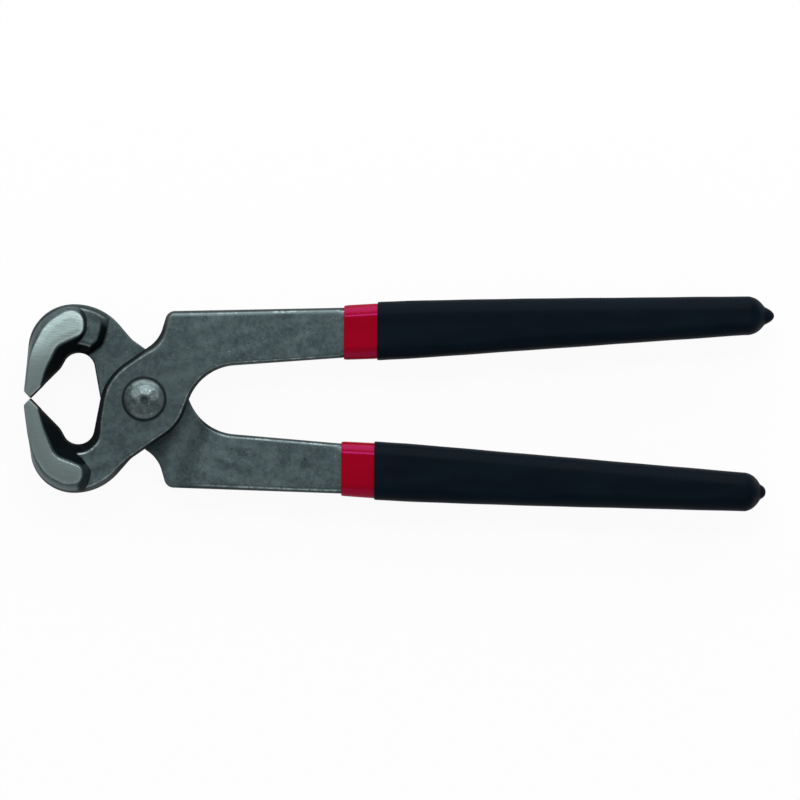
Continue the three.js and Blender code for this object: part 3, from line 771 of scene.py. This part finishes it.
def sleeve_rings(x, grown, corner, flatness, half_limit):
    """Rings round the arm at places x: its section grown by an offset, with corners of a given radius, and
    no half-width over a limit, so that the limit closes the end. Flatness turns a corner from a quarter
    circle (0) towards a low soft bevel (1)."""
    core, outwards = section_template()
    power = 1 + BEVEL_POWER * flatness[:, None]
    across = np.sign(outwards[:, 0]) * np.abs(outwards[:, 0]) ** power
    upwards = np.sign(outwards[:, 1]) * np.abs(outwards[:, 1]) ** power
    middle = (arm_outer(x) + arm_inner(x)) / 2
    half_y = (arm_outer(x) - arm_inner(x)) / 2 + grown
    shrunk = np.minimum(half_limit / half_y, 1)
    half_y = half_y * shrunk
    half_z = (arm_half_thickness(x) + grown) * shrunk
    corner = np.minimum(corner, FULL_CORNER * np.minimum(half_y, half_z))
    low = corner * (1 - BEVEL_DROP * flatness)
    y = middle[:, None] + core[:, 0] * (half_y - corner)[:, None] + across * corner[:, None]
    z = core[:, 1] * (half_z - low)[:, None] + upwards * low[:, None]
    return np.stack((np.broadcast_to(x[:, None], y.shape), y, z), axis=2)


def dip_wall(x, start, lip, full):
    """How thick a dip is: it grows from its lip to its full wall."""
    return lip + (full - lip) * np.clip((x - start) / LIP_TAPER, 0, 1)


def red_outside(x):
    return DIP_CLEARANCE + dip_wall(x, RED_START_X, RED_LIP, RED_WALL)


def black_outside(x):
    return red_outside(x) + DIP_CLEARANCE + dip_wall(x, BLACK_START_X, BLACK_LIP, BLACK_WALL)


def dip_rings(start, inside_end, outside_x, inner, outer, inner_corner, outer_corner, flat, half_limit):
    """A dip as one closed skin: from its closed inner end along the inside to the open lip, round the lip
    on a half circle, and along the outside to the end, which half_limit closes."""
    inner_x = np.linspace(inside_end, start + INSIDE_SETBACK, INSIDE_ROWS)
    inner_x = np.concatenate((inner_x[:1], inner_x))
    wall = outer(np.array([start]))[0] - inner(np.array([start]))[0]
    turn = np.linspace(-math.pi / 2, math.pi / 2, LIP_ROWS)
    round_lip = (1 + np.sin(turn)) / 2
    lip_x = start + np.where(turn < 0, wall / 2, LIP_ROUND) * (1 - np.cos(turn))
    lip_grown = inner(lip_x) + wall * round_lip
    lip_corner = inner_corner + (outer_corner - inner_corner) * round_lip
    x = np.concatenate((inner_x, lip_x, outside_x))
    grown = np.concatenate((inner(inner_x), lip_grown, outer(outside_x)))
    last_corner = np.full(len(outside_x), outer_corner)
    corners = np.concatenate((np.full(len(inner_x), inner_corner), lip_corner, last_corner))
    last_flatness = np.full(len(outside_x), flat)
    flatness = np.concatenate((np.zeros(len(inner_x)), flat * round_lip, last_flatness))
    limit = np.concatenate(([0.0], np.full(INSIDE_ROWS + LIP_ROWS, FAR), half_limit))
    return sleeve_rings(x, grown, corners, flatness, limit)


def red_inside(x):
    return np.full_like(x, DIP_CLEARANCE)


def red_rings(start):
    """The red dip: it starts at a lip and ends flat, just past the arm's tip."""
    outside_x = np.linspace(start + LIP_ROUND + LIP_STEP, RED_TIP_X, RED_ROWS)
    return dip_rings(
        start=start,
        inside_end=ARM_TIP_OUTER[0] + DIP_CLEARANCE,
        outside_x=np.concatenate((outside_x, [RED_TIP_X])),
        inner=red_inside,
        outer=red_outside,
        inner_corner=ARM_CORNER - DIP_CLEARANCE,
        outer_corner=RED_CORNER,
        flat=1.0,
        half_limit=np.concatenate((np.full(RED_ROWS, FAR), [0.0])),
    )


def black_inside(x):
    return red_outside(x) + DIP_CLEARANCE


def grip_rings(start, shoulder_x, shoulder_length, nib_x, nib_radius, nib_tip_x, nib_fullness):
    """The grip's end is an ellipse that a small drip nib grows out of: the two half-widths are joined by a
    high power mean. Along the grip its wall varies by a product of two sines."""
    straight = np.linspace(start + LIP_ROUND + LIP_STEP, shoulder_x, GRIP_ROWS)
    along = np.concatenate((straight, np.linspace(shoulder_x, nib_tip_x, END_ROWS)[1:]))
    full = (arm_outer(shoulder_x) - arm_inner(shoulder_x)) / 2 + black_outside(shoulder_x)
    body = full * np.sqrt(1 - np.clip((along - shoulder_x) / shoulder_length, 0, 1) ** 2)
    nib = nib_radius * np.clip((nib_tip_x - along) / (nib_tip_x - nib_x), 0, 1) ** nib_fullness
    nib = nib * (along > nib_x - NIB_OVERLAP)
    ended = (body**END_BLEND + nib**END_BLEND) ** (1 / END_BLEND)
    wave = -SAG * (1 + np.sin(SAG_WAVES[0] * along) * np.sin(SAG_WAVES[1] * along + 1))
    return dip_rings(
        start=start,
        inside_end=RED_TIP_X + DIP_CLEARANCE,
        outside_x=along,
        inner=black_inside,
        outer=lambda x: black_outside(x) + np.interp(x, along, wave),
        inner_corner=RED_CORNER + DIP_CLEARANCE,
        outer_corner=BLACK_CORNER,
        flat=0.0,
        half_limit=np.where(along <= shoulder_x, FAR, ended),
    )


def dome_height(radius):
    """A hammered rivet head: a full low dome."""
    return HEAD_HEIGHT * np.clip(1 - (radius / HEAD_RADIUS) ** DOME_FULLNESS, 0, 1) ** DOME_EDGE


def rivet_rings():
    """The rivet turned about Z: dome, seat and shank, and the same below. Hammer blows flatten each dome: its
    height is the least of the dome and of planes that lie a little under its tangents. A punch mark sinks its
    middle. Returns the rings and the mask of painted shade in the punch mark and round the head's edge."""
    turn = np.linspace(0, 2 * math.pi, RIVET_COLUMNS, endpoint=False)
    dome_radius = HEAD_RADIUS * np.sin(np.linspace(0, math.pi / 2, DOME_ROWS))
    radius = np.concatenate((dome_radius, [SEAT_RADIUS, SHANK_RADIUS, SHANK_RADIUS]))
    height = np.concatenate((HEAD_SEAT + dome_height(dome_radius), [HEAD_SEAT, HEAD_SEAT, 0]))
    radius = np.concatenate((radius, radius[-2::-1]))[:, None]
    height = np.concatenate((height, -height[-2::-1]))[:, None]
    x, y = radius * np.cos(turn), radius * np.sin(turn)
    z = np.broadcast_to(height, x.shape)
    for bearing, reach, sunk in HAMMER_BLOWS:
        angle = math.radians(bearing)
        rise = dome_height(reach + SLOPE_STEP) - dome_height(reach - SLOPE_STEP)
        outwards = x * math.cos(angle) + y * math.sin(angle)
        plane = HEAD_SEAT + dome_height(reach) - sunk + rise / (2 * SLOPE_STEP) * (outwards - reach)
        cut = (np.abs(z) > plane) & (np.abs(z) > HEAD_SEAT)
        z = np.where(cut, np.sign(z) * np.maximum(plane, HEAD_SEAT), z)
    from_mark = np.hypot(x - PUNCH_MARK[0], y - PUNCH_MARK[1])
    mark = PUNCH_DEPTH * np.exp(-(from_mark**2) / PUNCH_SPREAD) * (np.abs(z) > HEAD_SEAT)
    z = z - np.sign(z) * mark
    mark_shade = PUNCH_SHADE * smooth(PUNCH_SHADE_RADIUS - from_mark, *PUNCH_SHADE_FADE)
    edge_shade = HEAD_EDGE_SHADE * smooth(radius, *HEAD_EDGE_RADIUS) * np.ones_like(x)
    return np.stack((x, y, z), axis=2), {"shade": np.maximum(mark_shade, edge_shade)}


# Finishes


def shader_node(tree, kind, settings=None, **inputs):
    """A node with some of its settings, and with its inputs set to values or linked to sockets."""
    node = tree.nodes.new(kind)
    for name, value in (settings or {}).items():
        setattr(node, name, value)
    for name, value in inputs.items():
        socket = node.inputs[int(name[1:]) if name[1:].isdigit() else name.replace("_", " ")]
        if isinstance(value, bpy.types.NodeSocket):
            tree.links.new(value, socket)
        else:
            socket.default_value = value
    return node


def blend(tree, share, first, second):
    """A colour from first to second by share."""
    settings = {"data_type": "RGBA"}
    return shader_node(tree, "ShaderNodeMix", settings, _0=share, _6=first, _7=second).outputs[2]


def between(tree, share, first, second):
    """A number from first to second by share."""
    return shader_node(tree, "ShaderNodeMix", None, _0=share, _2=first, _3=second).outputs[0]


def product(tree, first, second):
    return shader_node(tree, "ShaderNodeMath", {"operation": "MULTIPLY"}, _0=first, _1=second).outputs[0]


def step_mask(tree, value, low, high):
    """0 at low and 1 at high, smoothly."""
    settings = {"interpolation_type": "SMOOTHSTEP"}
    return shader_node(tree, "ShaderNodeMapRange", settings, Value=value, _1=low, _2=high).outputs[0]


def noise(tree, place, size, detail=4.0, rough=0.55):
    """Noise whose patches are about size millimetres across."""
    scale = 1 / (size * MM)
    inputs = {"Vector": place, "Scale": scale, "Detail": detail, "Roughness": rough}
    return shader_node(tree, "ShaderNodeTexNoise", None, **inputs).outputs["Fac"]


def one_over(tree, value):
    return shader_node(tree, "ShaderNodeMath", {"operation": "DIVIDE"}, _0=1.0, _1=value).outputs[0]


def stretched(tree, place, share, turn=0.0):
    """A place whose patterns are drawn out along X, or along a line turned from it by an angle."""
    inputs = {"Vector": place, "Rotation": (0, 0, turn), "Scale": (share, 1.0, 1.0)}
    return shader_node(tree, "ShaderNodeMapping", None, **inputs).outputs[0]


def group_of(name, inputs, outputs):
    """An empty shader group with named sockets."""
    group = bpy.data.node_groups.new(name, "ShaderNodeTree")
    for direction, sockets in (("INPUT", inputs), ("OUTPUT", outputs)):
        for socket, kind in sockets:
            group.interface.new_socket(socket, in_out=direction, socket_type="NodeSocket" + kind)
    return group, group.nodes.new("NodeGroupInput").outputs, group.nodes.new("NodeGroupOutput").inputs


def forge_skin_group():
    """The skin of blasted and blackened steel: cloudy patches, bright flecks, dark pits and their relief."""
    inputs = [("Place", "Vector"), ("Patch Size", "Float")]
    outputs = [("Cloud", "Float"), ("Flecks", "Float"), ("Pits", "Float"), ("Relief", "Float")]
    group, given, put_out = group_of("forge skin", inputs, outputs)
    place = given["Place"]
    patches = {"Vector": place, "Scale": one_over(group, given["Patch Size"])}
    patches.update(Detail=3.0, Roughness=0.5, Distortion=0.8)
    broad = shader_node(group, "ShaderNodeTexNoise", None, **patches).outputs["Fac"]
    grain = noise(group, place, size=1.3, detail=7.0, rough=0.68)
    cloud = between(group, 0.6, broad, grain)
    specks = step_mask(group, noise(group, place, size=0.5, detail=2.0, rough=0.5), low=0.6, high=0.72)
    crowded = step_mask(group, noise(group, place, size=3.5, detail=2.0, rough=0.5), low=0.4, high=0.65)
    pits = noise(group, place, size=1.1, detail=4.0, rough=0.6)
    made = {
        "Cloud": step_mask(group, cloud, low=0.36, high=0.64),
        "Flecks": product(group, specks, crowded),
        "Pits": step_mask(group, pits, low=0.62, high=0.72),
        "Relief": between(group, 0.35, grain, cloud),
    }
    for name, value in made.items():
        group.links.new(value, put_out[name])
    return group


def dip_skin_group():
    """The skin of a plastic dip: faint streaks along the handle and a soft orange-peel relief."""
    inputs = [("Place", "Vector"), ("Peel Size", "Float")]
    group, given, put_out = group_of("dip skin", inputs, [("Streaks", "Float"), ("Peel", "Float")])
    place = given["Place"]
    streaks = noise(group, stretched(group, place, share=0.25), size=4.0, detail=3.0, rough=0.5)
    bumps = {"Vector": place, "Scale": one_over(group, given["Peel Size"]), "Detail": 2.0}
    peel = shader_node(group, "ShaderNodeTexNoise", None, **bumps).outputs["Fac"]
    group.links.new(step_mask(group, streaks, low=0.3, high=0.7), put_out["Streaks"])
    group.links.new(peel, put_out["Peel"])
    return group


def new_material(name):
    """A material's tree, its shader and the object's own coordinates."""
    material = bpy.data.materials.new(name)
    material.use_nodes = True
    tree = material.node_tree
    place = shader_node(tree, "ShaderNodeTexCoord").outputs["Object"]
    return material, tree, tree.nodes["Principled BSDF"], place


def mask_of(tree, name):
    return shader_node(tree, "ShaderNodeAttribute", {"attribute_name": name}).outputs["Fac"]


def bare_steel(tree, place, colour, rough, relief):
    """Ground and worn places over a forged skin: its new colour, roughness and relief."""
    worn_patches = step_mask(tree, noise(tree, place, size=5.0), low=0.4, high=0.6)
    worn_grain = step_mask(tree, noise(tree, place, size=0.9), low=0.36, high=0.6)
    broken = between(tree, product(tree, worn_patches, worn_grain), WORN_LEAST, 1.0)
    worn = product(tree, mask_of(tree, "worn"), broken)
    ground = mask_of(tree, "ground")
    grinding = noise(tree, stretched(tree, place, share=0.15, turn=0.5), size=0.35)
    colour = blend(tree, ground, colour, blend(tree, grinding, GROUND_DULL, GROUND_BRIGHT))
    colour = blend(tree, worn, colour, STEEL_WORN)
    relief = between(tree, product(tree, ground, GRINDING_RELIEF), relief, grinding)
    return colour, between(tree, ground, rough, GROUND_ROUGH), relief


def steel(name, patch_size, dark, light, fleck, rough, has_ground):
    """Forged steel: cloudy dark skin, worn bright edges, ground crescents, and painted shade in black on the
    hollows and steep walls.
    """
    material, tree, shader, place = new_material(name)
    skin = shader_node(tree, "ShaderNodeGroup", {"node_tree": FORGE_SKIN}, Place=place)
    skin.inputs["Patch Size"].default_value = patch_size * MM
    cloud, flecks, pits, relief = (skin.outputs[key] for key in ("Cloud", "Flecks", "Pits", "Relief"))
    colour = blend(tree, cloud, dark, light)
    colour = blend(tree, product(tree, flecks, FLECK_SHARE), colour, fleck)
    colour = blend(tree, product(tree, pits, PIT_SHARE), colour, SCALE_AND_SHADE_BLACK)
    roughness = between(tree, cloud, *rough)
    if has_ground:
        colour, roughness, relief = bare_steel(tree, place, colour, roughness, relief)
    # the shade mask paints shade: black, rough and not metallic
    shade = mask_of(tree, "shade")
    bump = {"Strength": STEEL_RELIEF, "Distance": STEEL_RELIEF_HEIGHT * MM, "Height": relief}
    made = {
        "Base Color": blend(tree, shade, colour, SCALE_AND_SHADE_BLACK),
        "Roughness": between(tree, shade, roughness, SHADE_ROUGH),
        "Metallic": between(tree, shade, STEEL_METAL, 0.0),
        "Normal": shader_node(tree, "ShaderNodeBump", None, **bump).outputs[0],
    }
    for socket, value in made.items():
        tree.links.new(value, shader.inputs[socket])
    shader.inputs["Specular IOR Level"].default_value = STEEL_SPECULAR
    return material


def dip(name, deep, pale, rough, peel_size, specular, tint):
    """Dipped plastic: one deep colour with faint streaks and a soft, slightly uneven gloss."""
    material, tree, shader, place = new_material(name)
    skin = shader_node(tree, "ShaderNodeGroup", {"node_tree": DIP_SKIN}, Place=place)
    skin.inputs["Peel Size"].default_value = peel_size * MM
    streaks, peel = skin.outputs["Streaks"], skin.outputs["Peel"]
    bump = {"Strength": PEEL_RELIEF, "Distance": PEEL_RELIEF_HEIGHT * MM, "Height": peel}
    made = {
        "Base Color": blend(tree, streaks, deep, pale),
        "Roughness": between(tree, streaks, *rough),
        "Normal": shader_node(tree, "ShaderNodeBump", None, **bump).outputs[0],
    }
    for socket, value in made.items():
        tree.links.new(value, shader.inputs[socket])
    shader.inputs["Specular IOR Level"].default_value = specular
    shader.inputs["Specular Tint"].default_value = tint
    return material


FORGE_SKIN = forge_skin_group()
DIP_SKIN = dip_skin_group()
forged_steel = steel(
    "forged steel", patch_size=8.0, dark=STEEL_DARK, light=STEEL_LIGHT, fleck=STEEL_FLECK,
    rough=(0.42, 0.55), has_ground=True,
)
rivet_steel = steel(
    "rivet steel", patch_size=2.0, dark=RIVET_DARK, light=RIVET_LIGHT, fleck=STEEL_WORN,
    rough=(0.3, 0.38), has_ground=False,
)
red_dip = dip(
    "red dip", deep=RED_DEEP, pale=RED_PALE, rough=(0.18, 0.24), peel_size=1.8, specular=0.56, tint=RED_GLOSS,
)
black_dip = dip(
    "black dip", deep=BLACK_DEEP, pale=BLACK_PALE, rough=(0.45, 0.55), peel_size=1.2, specular=0.048,
    tint=(1, 1, 1, 1),
)

# Pieces


def add_piece(name, rings, material, body, node, masks=None, turned=False):
    piece = mesh_piece(name, rings, material, masks, turned)
    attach(piece, body)
    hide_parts(node)
    return piece


front, back = Half(FRONT_JAW), Half(BACK_JAW)
rivet_skin, rivet_masks = rivet_rings()
lower_red_start = RED_START_X - LOWER_RED_LEAD
lower_black_start = BLACK_START_X - LOWER_BLACK_LEAD
upper_grip = grip_rings(BLACK_START_X, *UPPER_END)
lower_grip = grip_rings(lower_black_start, *LOWER_END)
add_piece("front_forging", front.rings(), forged_steel, "front", "front_half", front.masks())
add_piece("back_forging", back.rings(), forged_steel, "back", "back_half", back.masks(), turned=True)
add_piece("hammered_rivet", rivet_skin, rivet_steel, "back", "rivet", rivet_masks)
add_piece("upper_red_dip", red_rings(RED_START_X), red_dip, "front", "upper_red_sleeve")
add_piece("lower_red_dip", red_rings(lower_red_start), red_dip, "back", "lower_red_sleeve", turned=True)
add_piece("upper_black_dip", upper_grip, black_dip, "front", "upper_black_grip")
add_piece("lower_black_dip", lower_grip, black_dip, "back", "lower_black_grip", turned=True)

# Floor, light and camera


def floor_material():
    """White to the camera and in reflections, with a share of real shading that keeps the shadow."""
    material = bpy.data.materials.new("pale floor")
    material.use_nodes = True
    tree = material.node_tree
    shader = tree.nodes["Principled BSDF"]
    shader.inputs["Base Color"].default_value = FLOOR_COLOUR
    shader.inputs["Roughness"].default_value = FLOOR_ROUGH
    rays = shader_node(tree, "ShaderNodeLightPath").outputs
    seen = rays["Is Camera Ray"]
    for ray_kind in ("Is Glossy Ray", "Is Transmission Ray"):
        larger = shader_node(tree, "ShaderNodeMath", {"operation": "MAXIMUM"}, _0=seen, _1=rays[ray_kind])
        seen = larger.outputs[0]
    white = shader_node(tree, "ShaderNodeEmission", None, Strength=1.0).outputs[0]
    share = product(tree, seen, FLOOR_WHITE)
    mixed = shader_node(tree, "ShaderNodeMixShader", None, _0=share, _1=shader.outputs[0], _2=white)
    tree.links.new(mixed.outputs[0], tree.nodes["Material Output"].inputs["Surface"])
    return material


bpy.ops.mesh.primitive_plane_add(size=FLOOR_SIZE)
floor = bpy.context.object
floor.name = "floor"
floor.data.materials.append(floor_material())

SOFTBOXES = (  # name, place, width, height, power
    ("overhead softbox", (0, 0.42, 0.8), 1.0, 0.25, 4.2),
    ("top panel", (0, 0.9, 0.38), 1.8, 0.6, 8.0),
    ("bottom panel", (0, -0.9, 0.38), 1.8, 0.6, 1.4),
)
for name, place, width, height, power in SOFTBOXES:
    lamp = bpy.data.lights.new(name, "AREA")
    lamp.shape = "RECTANGLE"
    lamp.size, lamp.size_y = width, height
    lamp.energy = power
    holder = bpy.data.objects.new(name, lamp)
    holder.location = place
    holder.rotation_euler = (-math.atan2(place[1], place[2]), 0, 0)
    bpy.context.scene.collection.objects.link(holder)

world = bpy.data.worlds.new("studio")
bpy.context.scene.world = world
world.use_nodes = True
world.node_tree.nodes["Background"].inputs["Color"].default_value = STUDIO_GREY

camera = bpy.data.cameras.new("camera")
camera.lens = LENS
camera_object = bpy.data.objects.new("camera", camera)
bpy.context.scene.collection.objects.link(camera_object)
bpy.context.scene.camera = camera_object
camera_height = FIELD * LENS / camera.sensor_width + FIELD_HEIGHT
camera_object.location = (*PICTURE_CENTRE, camera_height)
camera_object.rotation_euler = (0, 0, CAMERA_TURN)
bpy.context.scene.view_settings.view_transform = "Standard"
